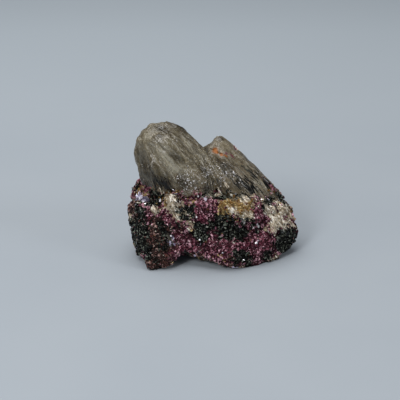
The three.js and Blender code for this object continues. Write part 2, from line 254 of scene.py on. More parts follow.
# Where each mineral shows on the front, in millimetres from the middle of the view (right, up), with the
# radius of the patch. A patch that is named twice is purer. Between the patches, and on the other sides,
# broad noise mixes the minerals, each as far as it is common.
PATCH_WANDER = 2.2 * MM
PATCH_SPREAD = 1.1
PATCH_PURITY = 1.2
PATCH_PULL = 2.9
ZONE_SHARPNESS = 3.5
MINERALS = ["lepidolite", "tourmaline", "feldspar", "stained_feldspar", "rusty_mica", "lilac_mica",
            "smoky_quartz"]
COMMON = {"lepidolite": 0.42, "tourmaline": 0.42, "feldspar": 0.12, "stained_feldspar": 0.0,
          "rusty_mica": 0.16, "lilac_mica": -0.9, "smoky_quartz": -0.8}
PATCHES = {
    "lepidolite": [
        (3, -2.5, 4.5), (0, -7, 3.5), (2.5, -9, 3), (6.5, -2, 4), (6, -6, 3.5), (-2, 2, 2.5),
        (-7.5, -1.5, 2.5), (-26, -5, 2), (-17.5, -6.5, 3), (-20, -3.5, 1.5), (-15, -10.5, 2.5),
        (-17, -11, 2.5), (-25, -7.5, 2), (-25, -11, 2.5), (-5, -20, 3), (-7, -23.5, 2.5), (-11, -18, 3.5),
        (-8.5, -15, 3), (-1.5, -20.5, 1.5), (-2.5, -25, 2), (-11, -26, 3), (-13.5, -26, 2.5), (-15, -29, 2),
        (6.5, -18, 3), (7.5, -22.5, 4), (11, -24, 4), (15, -25, 3), (6.5, -26.5, 3.5), (11, -28.5, 3.5),
        (15, -31, 2), (4, -26, 2.5), (20, -33, 1.5), (23.5, -21.5, 3), (27.5, -20, 3.5), (31, -22.5, 4.5),
        (29, -27.5, 3.8), (35, -20, 3), (27, -23, 2.5), (32.5, -18.5, 3), (28.5, -31.5, 2),
        (36, -25.5, 2.5), (39, -25, 1.5), (26.5, -16.5, 2), (22.5, -23.5, 2.8), (20, -22, 2), (29, -6, 2.5),
        (27.5, -9, 2), (31, -13, 2), (17.5, -9.5, 3), (16, -11.5, 2), (21.5, -13, 2.5), (23.5, -11, 2),
        (43, -10.5, 1.5), (46, -11, 1), (33, -9.5, 1.5), (38.5, -11, 1.5), (35, -15.5, 1.5),
        (-29.5, 8.5, 2), (-27.5, 6.5, 2), (-33.5, 2.5, 2), (37.8, 7.3, 1.8), (36.6, 9.3, 1.6),
        (38.5, 6.2, 1.2), (36.5, -7.5, 0.9), (43.5, -8.5, 1.1), (35, -10.5, 1), (40, -14.5, 1.2),
        (33, -12, 1.3), (45.5, -12, 1), (38.5, -5, 0.7), (41.5, -12, 0.9),
    ],
    "rusty_mica": [
        (-33, -6, 2), (-30, -4, 1.5), (-28, -8, 1.4), (-30.5, -11, 1.2), (-29, -19, 1.5), (-26, 6.5, 1.5),
        (-30, 4, 1.5), (-25, 1.2, 1.3), (-20.8, 2.6, 1.1), (-23.3, 3.2, 1.0), (-23.3, 3.2, 1.0),
        (-33.5, -5, 3), (-32.5, -9, 2.5), (-22.5, -16, 3.5), (-18.5, -17.5, 3), (-20, -22.5, 3),
        (-16, -14, 2.5), (-10, -14, 3), (-25, -29, 2.5), (-21.5, -31, 3), (-25, -33, 2), (-17.5, -29, 2.5),
        (-22.5, -10, 2.5), (-12.5, -23.5, 2.5), (-7, -18, 2.5), (15, -29, 2), (5, -28, 2), (-35, -3, 2),
        (-36, -1, 2), (-26, -21, 2), (-28.5, -13, 1.5),
    ],
    "tourmaline": [
        (-22.5, 2.5, 3.2), (-24.5, -2, 2.2), (-20, 2, 2), (-29.5, -5, 3), (-27.5, -9, 3), (-30, -12.5, 4),
        (-32.5, -16, 3), (-27.5, -17.5, 4), (-31.5, -21.5, 3.5), (-25, -22.5, 3.5), (-21, -25, 3),
        (-26.5, -26, 3), (-20, -12.5, 2), (-17.5, -16, 1.5), (-11, -12, 2.5), (-12.5, -3.5, 1.5),
        (-9, -6, 2), (-5, -3.5, 3), (-6, -8, 2.5), (-3.5, -6.5, 2), (-2, -14, 3), (-1.5, -18.5, 2.5),
        (1.5, -17.5, 3), (2.5, -13.5, 3), (6, -11.5, 3), (10, -12.5, 4), (14, -11, 3), (17.5, -15, 4),
        (12.5, -17.5, 4), (19, -18, 2.5), (21.5, -16.5, 3), (8, -15, 2.5), (3.5, -20.5, 2), (7, -8, 1.5),
        (23, -28, 3.2), (19.5, -26.5, 1.8), (20, -30, 3), (26, -28.5, 2.5), (17.5, -28, 2), (25, -32.5, 2),
        (26, -10.5, 2.5), (29, -15, 2), (26.5, -14, 2), (31, -16.5, 2), (24.5, -9.5, 1.5), (42.5, -19, 4.5),
        (46.5, -17.5, 2.5), (40, -22, 3), (45, -22.5, 2.5), (37.5, -22, 2), (34, -26, 2.5), (41.5, -25, 2),
        (45, -14.5, 1.5), (34, -1.5, 2), (32, -4, 2), (33, -0.5, 2.5), (39.8, 3.5, 2.4), (40.5, 1.5, 2.2),
        (42, -0.5, 1.6), (31, -2, 1.8), (9, 2, 2.2), (-22, 4, 1.2), (33.2, 9, 1.6), (34.3, 5.5, 1.4),
        (35, 0, 1.8), (36.5, -3, 1.5), (9, 1.3, 1.9), (10.5, 3, 1.2), (-18.5, -17.5, 2.5), (-25, -29, 2),
        (-21.5, -31, 1.5), (-17.5, -29, 1.5), (-32.5, -9, 2), (-35, -12, 2.5), (-34.5, -18, 2.5),
        (-32, -24, 2.5), (-35.5, -7, 2), (-22.5, -16, 1.5), (-19, -22, 2), (-22.5, -30, 1.5),
        (-6.5, -26, 2), (-8.5, -25, 1.5),
    ],
    "feldspar": [
        (13.2, 7.3, 1.2), (-21.5, -0.3, 0.8), (-24, 2, 0.6), (-13, 0.5, 3.5), (-15, -1.5, 2.5),
        (-10.5, -1.5, 2.5), (-17.5, 0.5, 1.5), (-23, -4.5, 2), (-20.5, -5, 2), (-17.5, -4.5, 1.5),
        (-13.5, -8, 2.5), (-11, -9.5, 2), (-7.5, -6.5, 2), (-6.5, -11, 2), (-4, -13, 1.5), (21, -1.5, 2),
        (26, -2.5, 2), (28, -3, 1.5), (15, -8, 1.2), (21.5, -4, 1.6), (15, -3.5, 2), (17, -4.5, 2.2),
        (12.5, -6, 1.5), (18.5, -7, 1.8), (12.5, -1, 1.3), (-11, -26, 0.9), (6.5, -22, 0.9),
        (13.5, -26.5, 1), (11, -24, 0.8), (9, -28, 0.9), (31.5, -22, 0.9), (24, -21.5, 0.8),
        (35.5, -20.5, 1), (4, -25, 0.8), (6.5, -17.5, 0.8), (-4.5, -21, 0.8), (-17, -7, 1),
        (-24.5, -8, 0.8), (29, -26, 0.9), (15.5, -30, 0.9), (3.5, -8, 0.8), (0, -4, 0.7), (18, -6, 1.3),
        (23.5, -7.5, 2.2), (26, -8, 1.5), (38.5, -2.5, 3), (35, -6, 3), (40, -6.5, 3.5), (37.5, -10, 3),
        (41.5, -11, 3), (34, -13, 2.5), (37.5, -13.5, 3), (42.5, -14, 2), (45, -10, 2), (36.5, -17.5, 2),
        (32.5, -15, 1.5), (46.5, -13, 1.5), (44, -6.5, 2), (21, -0.5, 2), (14.5, -2, 1.5), (-19, 5.2, 1.5),
        (-14.5, -3, 2),
    ],
    "stained_feldspar": [
        (-17, -1.5, 1.5), (-16, -4, 1.5), (-20, -1.5, 1.5), (12.5, -2, 2.8), (10.5, -5.5, 2.5),
        (14, -6.5, 2.5), (20, -6, 2), (9, -3.5, 1.5), (17.5, -1.5, 2), (14, -8, 1.8), (17.5, -8.5, 2),
        (-4, 2, 1.5), (41, -2.5, 1), (43.5, -5, 1.2), (38, -9, 0.9), (-24, 3.5, 1), (-21, 2, 0.8),
        (13.2, 7.3, 1), (14.8, 3.8, 1), (-23, 6.5, 1.2), (-16.5, 4.8, 1.2), (-19.5, -0.5, 1.3),
        (-20.5, 0.8, 1.1), (-20.5, 0.8, 1.1), (6, -25, 1.2), (9, -28, 1.3), (12, -29.5, 1.2),
        (14, -27, 1.1), (5, -22, 1), (7, -26, 1.3), (10, -28, 1.3), (12.5, -29.5, 1.2), (-3.5, -0.5, 1.5),
        (42.5, -8, 1.5), (39, -4, 1.5), (22, -3, 2), (19, -1, 2), (25, -0.5, 1.6), (24, -5, 1.5),
        (26.5, -2.5, 1.4), (21, -5, 1.5), (20, -3.5, 2), (23, -2, 1.5), (-9, -14, 0.8), (-13, -12, 0.8),
    ],
    "lilac_mica": [
        (-15.5, -19.5, 1.8), (-14, -21.3, 1.6), (-29.5, 0.5, 2.3), (-29, -0.5, 2.3), (-27.5, -1, 2),
        (-26.5, 0, 1.5), (-31.5, 1.5, 1.8), (-30.5, 1, 1.8), (-31, -1, 1.8), (-28, -2.5, 1.5),
        (-29.5, 0.5, 2), (-28, -0.5, 1.8), (-29, 0.8, 1.8), (-27.3, 0.3, 1.6), (-12, -22.5, 1),
        (5.5, -18, 1), (8, -19, 1.2), (7, -20.5, 0.9), (13, -22.5, 0.8), (27.5, -20.5, 0.9),
        (-8.5, -16.5, 0.8),
    ],
    "smoky_quartz": [
        (-15.5, -19.7, 1.9), (-14, -21.3, 1.8), (-15.5, -19.7, 1.5), (-13, -23, 1.6), (4, 3.5, 1.8),
        (4, 3.5, 1.8), (6.5, 3, 1.8), (35.5, 4, 2.2), (37, 1.5, 1.8), (20, 2.5, 2), (20, 2.5, 2),
        (22.5, 0.8, 1.8), (12, 2.5, 1.8), (16.5, 1.8, 2), (17.5, 4, 2), (24.5, 2, 1.8), (-8, -6.5, 2),
        (-6, -8.5, 2),
    ],
}

rock_solid = BVHTree.FromObject(bpy.data.objects["lepidolite_matrix"], bpy.context.evaluated_depsgraph_get())
quartz_solid = BVHTree.FromObject(bpy.data.objects["quartz_mass"], bpy.context.evaluated_depsgraph_get())


def on_surface(right, up, solids=(rock_solid, quartz_solid)):
    """The point that is seen at a place in the view, given in millimetres from its middle. It is where the
    line of sight through that place first meets one of the solids, or else the point nearest to the place."""
    through = CAMERA_TARGET + MM * (right * view_right + up * view_up)
    sight = (through - camera.location).normalized()
    hits = [solid.ray_cast(camera.location, sight) for solid in solids]
    hits = [hit for hit in hits if hit[0]] or [solid.find_nearest(through) for solid in solids]
    return min(hits, key=lambda hit: hit[3])[0]


def bell(points, right, up, radius, solids=(rock_solid, quartz_solid)):
    """A bell curve of the distance from each point to the place that is seen at (right, up)."""
    centre = np.array(on_surface(right, up, solids))
    return np.exp(-np.sum((points - centre) ** 2, axis=-1) / (radius * MM) ** 2)


def mineral_shares(points):
    """For each point, the share of each mineral. A patch adds a bell curve of its distance, which fills up
    towards one where patches overlap. Noise of three sizes adds the mix, more so where no patch reaches,
    and the sums are sharpened by an exponential and scaled to add up to one. The points are first pushed
    about by noise, so that the edges of the patches wander."""
    pushed = points + PATCH_WANDER * np.stack([waves(points, 3.2 * MM, 70 + k) for k in range(3)], axis=-1)
    bells = np.zeros((len(points), len(MINERALS)))
    for number, mineral in enumerate(MINERALS):
        for right, up, radius in PATCHES[mineral]:
            bells[:, number] += bell(pushed, right, up, PATCH_SPREAD * radius)
    open_ground = np.exp(-np.sum(bells, axis=-1))
    filled = 1 - np.exp(-PATCH_PURITY * bells)
    sums = np.array([COMMON[mineral] for mineral in MINERALS]) + PATCH_PULL * filled
    for number in range(len(MINERALS)):
        sums[:, number] += (
            (1.2 + open_ground) * waves(points, 9 * MM, 40 + number)
            + 0.7 * waves(points, 2.4 * MM, 50 + number) + 0.45 * waves(points, 1.2 * MM, 60 + number)
        )
    sharp = np.exp(ZONE_SHARPNESS * sums)
    return sharp / np.sum(sharp, axis=-1, keepdims=True)


# Right, up, radius and height (mm) of rounded lumps of crystals, and of the hollows between them.
KNOBS = [
    (-13, 1.5, 3.2, 2.0), (-23.5, -3.5, 2.2, 0.8), (3.5, -4, 4.5, 0.9), (13, -3.5, 4.5, 0.8),
    (22, -3, 4, 0.8), (-5, -6, 3, -0.9), (31, -13, 3, -0.8), (-19, 2.5, 2.2, -1.2), (-8.5, 1, 1.8, -0.9),
    (8, -22, 5, 0.8), (31, -22, 5, 0.7), (28, -5, 2, -0.6), (-20, -12, 4, -0.6),
]
rock = fine_copy("lepidolite_matrix", ROCK_VOXEL, ROCK_SMOOTHING, "rock")
points, normals = points_and_normals(rock.data)
# In millimetres: broad swells, two sizes of flat break, and the ends of grains.
relief = (
    0.9 * waves(points, 8 * MM, 1) + 0.5 * cleavage(points, 4.5 * MM, 2)
    + 0.45 * cleavage(points, 2.2 * MM, 3) + 0.3 * waves(points, 1.6 * MM, 4)
)
for right, up, radius, height in KNOBS:
    relief += height * bell(points, right, up, radius)
# The feet that the lump rests on stay flat, and the relief fades in above them.
lifted = np.clip((points[:, 2] - FOOT_HEIGHT) / FOOT_FADE, 0, 1)
points = points + normals * (relief * MM * lifted)[:, None]
points[:, 2] = np.maximum(points[:, 2], 0)
put_points(rock.data, points)
shares = mineral_shares(points)
for number, mineral in enumerate(MINERALS):
    put_attribute(rock.data, mineral, shares[:, number])

# Fine grained mica rock, broken and never polished: each grain of about a millimetre takes the colour
# of one mineral and a tone of its own, and painted shade darkens the seams between the grains.
ROCK_GRAIN = 1.1 * MM
ROCK_COLOURS = {"lepidolite": "#38161f", "tourmaline": "#0b0b08", "feldspar": "#b5a78e",
                "stained_feldspar": "#86714a", "rusty_mica": "#2d201c", "lilac_mica": "#8f869a",
                "smoky_quartz": "#5f5b4e"}
granular, tree, output = new_material("granular_mica_rock")
position = add_node(tree, "ShaderNodeTexCoord").outputs["Object"]
wobble = add_node(tree, "ShaderNodeTexNoise", {"Vector": position, "Scale": 700.0, "Detail": 2.0})
shifted = add_node(tree, "ShaderNodeVectorMath", {0: wobble.outputs["Color"], 1: (0.0006, 0.0006, 0.0006)},
                   operation="MULTIPLY")
moved = add_node(tree, "ShaderNodeVectorMath", {0: position, 1: shifted.outputs[0]})
grains = add_node(tree, "ShaderNodeTexVoronoi", {"Vector": moved.outputs[0], "Scale": 1 / ROCK_GRAIN})
pick = add_node(tree, "ShaderNodeSeparateColor", {"Color": grains.outputs["Color"]})
colour = linear(ROCK_COLOURS[MINERALS[0]])
reached = add_node(tree, "ShaderNodeAttribute", attribute_name=MINERALS[0]).outputs["Fac"]
for mineral in MINERALS[1:]:
    share = add_node(tree, "ShaderNodeAttribute", attribute_name=mineral).outputs["Fac"]
    past = add_node(tree, "ShaderNodeMath", {0: pick.outputs["Red"], 1: reached}, operation="GREATER_THAN")
    colour = add_node(tree, "ShaderNodeMix", {
        0: past.outputs[0], 6: colour, 7: linear(ROCK_COLOURS[mineral])}, data_type="RGBA").outputs[2]
    reached = add_node(tree, "ShaderNodeMath", {0: reached, 1: share}, operation="ADD").outputs[0]
tone = add_node(tree, "ShaderNodeMapRange", {"Value": pick.outputs["Green"], "To Min": 0.45, "To Max": 1.3})
# Painted shade: each grain darkens towards its edges, to half at the seams. The same height sinks the seams
# by a bump.
seam_shade = add_node(tree, "ShaderNodeMapRange", {
    "Value": grains.outputs["Distance"], "From Min": 0.35, "From Max": 0.75, "To Min": 1.0, "To Max": 0.5})
for part in (tone, seam_shade):
    colour = add_node(tree, "ShaderNodeMix", {0: 1.0, 6: colour, 7: part.outputs[0]}, data_type="RGBA",
                      blend_type="MULTIPLY").outputs[2]
bump = add_node(tree, "ShaderNodeBump", {"Height": seam_shade.outputs[0], "Strength": 0.7, "Distance": 0.3 * MM})
surface = add_node(tree, "ShaderNodeBsdfPrincipled", {
    "Base Color": colour, "Roughness": 0.6, "Specular IOR Level": 0.1, "Normal": bump.outputs[0]})
tree.links.new(surface.outputs[0], output.inputs["Surface"])
rock.data.materials.clear()
rock.data.materials.append(granular)
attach(rock, "root")
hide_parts("lepidolite_matrix")


# ------------------------------------------------------------------ quartz

# The upper half: a leaning lobe of grey quartz and a lower ridge behind it, one crystal mass broken along
# its grain. It is clouded by fibres of inclusions that fan out, and see-through where it is thin.
QUARTZ_VOXEL = 0.38 * MM
QUARTZ_SMOOTHING = 3
FAN_OF_LOBE = np.array((-49, 3, 89)) * MM
FAN_OF_RIDGE = np.array((-44, 13, 100)) * MM
FAN_REFERENCE = 60 * MM
FIBRE_STRETCH = 0.14
# The way that the back of the quartz faces, down and away.
QUARTZ_BACK = np.array((0, 0.93, -0.37))


def fan_coordinates(points):
    """A place in the fan of fibres: the direction from the fan's centre times a fixed length, drawn out
    only a little along the fibre. The lobe and the ridge have a fan each, either side of a crease, which
    runs down from x = -3 mm at a height of 54 mm and moves right by a third of its fall."""
    crease = -3 * MM + (54 * MM - points[:, 2]) / 3
    centre = np.where((points[:, 0] < crease)[:, None], FAN_OF_LOBE, FAN_OF_RIDGE)
    away = points - centre
    radius = np.linalg.norm(away, axis=1, keepdims=True)
    return away / radius * (FAN_REFERENCE + FIBRE_STRETCH * radius), away / radius


quartz = fine_copy("quartz_mass", QUARTZ_VOXEL, QUARTZ_SMOOTHING, "quartz")
points, normals = points_and_normals(quartz.data)
fan = fan_coordinates(points)[0]
# In millimetres: the front broke along the fibres, in long flats, and the back across them, in steps.
across_break = 0.9 * cleavage(points, 7 * MM, 21) + 0.35 * cleavage(points, 2.6 * MM, 22)
faces_back = np.clip(2 * (normals @ QUARTZ_BACK) - 0.4, 0, 1)
relief = (
    0.4 * waves(points, 7 * MM, 11) + 0.4 * cleavage(fan, 8 * MM, 19) + 0.1 * cleavage(fan, 3.2 * MM, 13)
    + 0.04 * waves(fan, 1.6 * MM, 12) + across_break * faces_back
)

# Where the quartz is tinted, in millimetres from the middle of the view (right, up), with the half length
# of the patch along the fibres and its half width.
QUARTZ_TINTS = {
    # Smoky brown, and painted shade on the lobe's left side, its foot and its hollows.
    "smoky_and_shade": [
        (-25, 14, 7, 4), (-26.5, 11, 4, 3), (-29, 20, 8, 3), (-27, 9, 5, 4), (-16, 7, 5, 3), (-21, 9, 4, 2),
        (-12, 21, 4, 2), (9, 3, 3, 2), (4, 6, 4, 2), (20, 7, 3, 1.5), (14, 5, 4, 3), (37, 7, 4, 2.5),
        (-20, 32, 3, 1), (12, 17, 5, 2), (-9, 36, 7, 3), (-20, 36, 4, 2), (10, 31, 2, 2), (2, 15, 4, 2),
        (-9, 9, 4, 2.5),
    ],
    # Partly milky clouds, and partly painted light on the band down the front of the lobe that faces the
    # light.
    "milky_and_lit": [
        (-19, 25, 7, 3.5), (-13, 17, 7, 3.5), (9, 29.5, 3, 2.5), (24, 15, 8, 1.2), (29.5, 8, 4.5, 2.6),
        (-30, 24, 5, 1.2), (-6, 28, 6, 1.5), (-26, 32, 4, 1.5),
    ],
    "iron_stain": [
        (7.5, 24.8, 1.1, 1.2), (8.4, 23.8, 0.7, 0.6), (10.7, 22.7, 1.0, 0.7), (12.8, 22.1, 1.2, 0.4),
    ],
    "ochre_stain": [(12, 4.5, 3, 3), (17, 3, 4, 2), (14, 9, 3, 1.5), (-20.5, 5.5, 4, 1), (21, 1.5, 3, 1.5)],
    "rosy": [(13, 23, 0.9, 0.8), (18, 25.8, 1.1, 1), (16, 22, 1.6, 0.5), (37.5, 8.5, 3, 1), (-29, 8, 3, 1.2)],
}
# Long cracks and veins in the quartz. Each has its half width, then right and up of each corner, in mm.
BLACK_VEINS = [
    (1.0, (15.5, 14.5), (19, 11.2), (22.5, 7), (26, 3), (29.5, 1)), (0.5, (12, 14), (15, 11), (17.5, 8)),
    (0.8, (18.5, 12.5), (22, 8.8), (25, 5.5), (28, 2.5)), (0.55, (21, 17), (26, 13.5), (29, 10.5), (31, 7)),
    (0.9, (32.2, 9.8), (34.3, 7.6)), (0.45, (34.3, 7.6), (36, 4), (36.3, 0.5)),
    (0.5, (25, 17.5), (29, 14.5), (32.5, 11)), (1.0, (8.5, 10), (10, 5), (10.5, 1)),
    (0.4, (4, 11), (4.5, 5)), (0.45, (6.3, 11), (7.5, 4)), (0.7, (-24, 13), (-22.5, 9), (-21, 5.5)),
    (0.5, (-21.7, 12), (-20, 8.5), (-18.7, 5)), (0.7, (-19, 11), (-16.5, 7.5), (-13.5, 4)),
    (0.4, (-17, 10.5), (-14.5, 7), (-12, 4)), (0.4, (12.5, 20), (15.5, 17.5)),
    (0.35, (24, 12), (27, 8.5), (29, 5)), (0.9, (38, 6), (40, 3.5), (41.5, 1)),
    (0.35, (13, 17.5), (18, 12.5), (22, 9)), (0.5, (19, 16), (24, 11), (28, 7)),
    (0.5, (23, 15.5), (28, 11), (32, 6.5)), (0.45, (10.5, 17), (13, 13.5), (16, 9.5)),
    (0.5, (28, 14), (32, 10)), (0.5, (24, 7.5), (27, 4.5)), (0.4, (29, 9), (33, 4.5)),
    (0.4, (3, 15), (5, 10), (6, 6)),
]
BROWN_VEINS = [
    (0.7, (2.5, 26), (5.8, 20), (8.3, 16.7), (10.8, 12)), (0.7, (-23.5, 31.7), (-21, 28.5), (-17.5, 24.5)),
    (1.3, (-14.5, 22.5), (-11, 21), (-8.5, 18.5)), (0.5, (-9, 33), (-4, 28.5), (-1, 24)),
    (0.5, (-12, 31), (-6, 25), (0, 19)), (0.5, (-4, 27), (1, 22), (4, 17)),
    (0.6, (-9, 25), (-3, 19.5), (2, 14)), (0.5, (12, 21), (17, 16), (20, 12)),
    (0.5, (-28, 22), (-28.5, 18), (-27, 14)), (0.5, (4.5, 11), (6, 7), (7, 3)),
    (1.2, (-22, 17), (-20, 13), (-18, 10)), (0.6, (-18, 35), (-13, 33), (-10, 31)),
    (0.8, (10, 21), (15, 18.5), (19, 17)),
]
# Pale veins: white inclusions along the fibres, and painted glints where the fibres would catch the light.
PALE_VEINS_AND_GLINTS = [
    (0.45, (-18.7, 33.5), (-16.7, 31), (-13.7, 30)),
    (0.5, (-25, 28.5), (-18.5, 24), (-12.5, 16.7), (-9, 11)),
    (0.35, (-12.5, 27.5), (-7.5, 21.7), (-2.5, 18.5)), (0.4, (16.7, 26), (24, 18.3), (31.7, 11.7)),
    (0.45, (16.5, 14.5), (18.5, 12.6), (22, 8.8)), (0.4, (13, 16), (16, 13)),
    (0.5, (34.3, 11), (36.8, 6.5), (38, 3)), (0.35, (-22, 30), (-15.5, 24.5), (-9, 17)),
    (0.35, (-16, 27), (-11, 22), (-6, 15)), (0.3, (-8, 30), (-3, 25), (2, 19.5)),
    (0.35, (-20.5, 9), (-18, 6.5), (-16.5, 5)), (0.4, (5.5, 11), (6, 7), (6.8, 4)),
    (0.4, (3, 10), (3.3, 6), (4, 3.5)), (0.4, (-30, 27), (-30, 21), (-28.5, 15)),
    (0.4, (-24, 34.5), (-18, 37), (-12, 36.5)), (0.3, (-25, 25), (-21, 18), (-17, 12)),
    (0.35, (20, 12.5), (24, 8.5), (27.5, 5)), (0.35, (13, 19), (18, 16), (22, 12.5)),
    (0.35, (-5, 31), (0, 26), (4, 20.5)), (0.3, (-14, 32), (-8, 28), (-3, 22.5)),
    (0.3, (-20, 20), (-16, 15), (-12, 9)), (0.4, (27, 9), (29.5, 5), (31, 2.5)),
]


def tint_strength(points, patches):
    """From 0 to 1: a sum of bell curves, each drawn out along the fibre that runs through its middle."""
    total = np.zeros(len(points))
    for right, up, length, width in patches:
        centre = np.array(on_surface(right, up, (quartz_solid,)))
        way = fan_coordinates(centre[None, :])[1][0]
        offset = points - centre
        along = offset @ way
        across = np.sum(offset ** 2, axis=-1) - along ** 2
        total += np.exp(-(along / (length * MM)) ** 2 - across / (width * MM) ** 2)
    return np.clip(total, 0, 1)


VEIN_STEP = 0.5


def vein_strength(points, veins):
    """From 0 to 1: the highest of the bell curves of the distance to each vein. A vein is followed over
    the quartz in steps of half a millimetre, so that it lies on the surface all the way."""
    strongest = np.zeros(len(points))
    for width, *line in veins:
        line = np.array(line)
        passed = np.concatenate([[0], np.cumsum(np.linalg.norm(np.diff(line, axis=0), axis=1))])
        stops = np.linspace(0, passed[-1], int(passed[-1] / VEIN_STEP) + 2)
        steps = zip(*(np.interp(stops, passed, line[:, axis]).tolist() for axis in (0, 1)))
        places = np.array([on_surface(right, up, (quartz_solid,)) for right, up in steps])
        reach = 3 * width * MM
        inside = (points > places.min(0) - reach) & (points < places.max(0) + reach)
        near = np.flatnonzero(np.all(inside, axis=1))
        distance = np.min(np.sum((points[near, None, :] - places) ** 2, axis=-1), axis=1)
        strongest[near] = np.maximum(strongest[near], np.exp(-distance / (width * MM) ** 2))
    return strongest


# The veins wander a little over the surface, as every crack does, and the dark ones are open cracks.
VEIN_WANDER = 0.7 * MM
wander = VEIN_WANDER * np.stack([waves(points, 3 * MM, 80 + k) for k in range(3)], axis=-1)
wandering = points + wander - np.sum(wander * normals, axis=-1, keepdims=True) * normals
# The iron stain sits on a smooth spot, where only a tenth of the relief is left.
STAIN_SMOOTHING = 0.9
relief *= 1 - STAIN_SMOOTHING * tint_strength(points, QUARTZ_TINTS["iron_stain"])
# Each kind of vein, with how far it stands out of the quartz, in millimetres.
VEINS = {
    "black_vein": (BLACK_VEINS, -0.45), "brown_vein": (BROWN_VEINS, -0.2), "pale_vein_and_glint": (PALE_VEINS_AND_GLINTS, 0.12),
}
for vein, (lines, height) in VEINS.items():
    veined = vein_strength(wandering, lines)
    relief = relief + height * veined
    put_attribute(quartz.data, vein, veined)
points = points + normals * (relief * MM)[:, None]
put_points(quartz.data, points)
for tint, patches in QUARTZ_TINTS.items():
    put_attribute(quartz.data, tint, tint_strength(points, patches))
fan_layer = quartz.data.attributes.new("fan", "FLOAT_VECTOR", "POINT")
fan_layer.data.foreach_set("vector", (fan / MM).astype(np.float32).ravel())

# Smoky quartz full of fine fibres: it is cloudy, with pale and brown streaks along the fibres, and a little
# light goes in. The pale streaks are partly painted glints, the milky patches partly painted light and the
# smoky ones partly painted shade. Its broken faces have a greasy shine, and the stained and black places are
# dull.
QUARTZ_DEEP = "#4d3f20"
QUARTZ_BODY = "#9f9174"
QUARTZ_PALE = "#d8cfb6"
# The near-white of the pale flaws and veins, which also stand in as painted glints.
QUARTZ_FLAW_AND_GLINT = "#ebe6d8"
QUARTZ_SMOKE = "#10110c"
# The dark colour of the painted shade that is laid over the smoky patches.
QUARTZ_SHADE = "#2a2316"
OCHRE_STAIN = "#574319"
IRON_STAIN = "#a65d0a"
ROSY_STAIN = "#6e3240"
QUARTZ_IOR = 1.544
clouded, tree, output = new_material("clouded_quartz")
position = add_node(tree, "ShaderNodeTexCoord").outputs["Object"]
fan_place = add_node(tree, "ShaderNodeAttribute", attribute_name="fan").outputs["Vector"]
strength = {tint: add_node(tree, "ShaderNodeAttribute", attribute_name=tint).outputs["Fac"]
            for tint in [*QUARTZ_TINTS, *VEINS]}
# The fibres sway by up to 2.4 mm over about 5 mm. In the fan one unit is a millimetre: the fibres are
# 0.5 and 0.8 mm apart, and run in bands and flats of 2.5 mm. Over them lie clouds of 7 mm and fine grit.
sway = add_node(tree, "ShaderNodeTexNoise", {"Vector": position, "Scale": 220.0, "Detail": 2.0})
swayed = add_node(tree, "ShaderNodeVectorMath", {0: sway.outputs["Color"], 1: (2.4, 2.4, 2.4), 2: fan_place},
                  operation="MULTIPLY_ADD").outputs[0]
fine = add_node(tree, "ShaderNodeTexNoise", {
    "Vector": swayed, "Scale": 1.3, "Detail": 4.0, "Roughness": 0.65})
broad = add_node(tree, "ShaderNodeTexNoise", {"Vector": swayed, "Scale": 0.4, "Detail": 2.0})
thin = add_node(tree, "ShaderNodeTexNoise", {"Vector": swayed, "Scale": 2.1, "Detail": 2.0})
faces = add_node(tree, "ShaderNodeTexVoronoi", {"Vector": swayed, "Scale": 0.42})
grit = add_node(tree, "ShaderNodeTexNoise", {"Vector": position, "Scale": 1300.0, "Detail": 2.0})
patchy = add_node(tree, "ShaderNodeTexNoise", {"Vector": position, "Scale": 150.0, "Detail": 5.0})
streaks = add_node(tree, "ShaderNodeMath", {0: fine.outputs["Fac"], 1: 1.6, 2: broad.outputs["Fac"]},
                   operation="MULTIPLY_ADD")
paleness = streaks.outputs[0]
# Painted light: the milky patches pale the quartz. Painted shade: the smoky ones darken it.
for part, amount in ((grit.outputs["Fac"], 0.6), (patchy.outputs["Fac"], 1.3),
                     (strength["milky_and_lit"], 0.36), (strength["smoky_and_shade"], -0.5)):
    paleness = add_node(tree, "ShaderNodeMath", {0: part, 1: amount, 2: paleness},
                        operation="MULTIPLY_ADD").outputs[0]
level = add_node(tree, "ShaderNodeMapRange", {"Value": paleness, "From Min": 1.72, "From Max": 2.83})
ramp = add_node(tree, "ShaderNodeValToRGB", {"Fac": level.outputs[0]})
ramp.color_ramp.elements[0].position = 0.05
ramp.color_ramp.elements[0].color = linear(QUARTZ_DEEP)
ramp.color_ramp.elements[1].position = 0.95
ramp.color_ramp.elements[1].color = linear(QUARTZ_PALE)
ramp.color_ramp.elements.new(0.5).color = linear(QUARTZ_BODY)
face_tone = add_node(tree, "ShaderNodeSeparateColor", {"Color": faces.outputs["Color"]})
face_light = add_node(tree, "ShaderNodeMapRange", {
    "Value": face_tone.outputs["Red"], "To Min": 0.84, "To Max": 1.12})
faced = add_node(tree, "ShaderNodeMix", {0: 1.0, 6: ramp.outputs["Color"], 7: face_light.outputs[0]},
                 data_type="RGBA", blend_type="MULTIPLY")
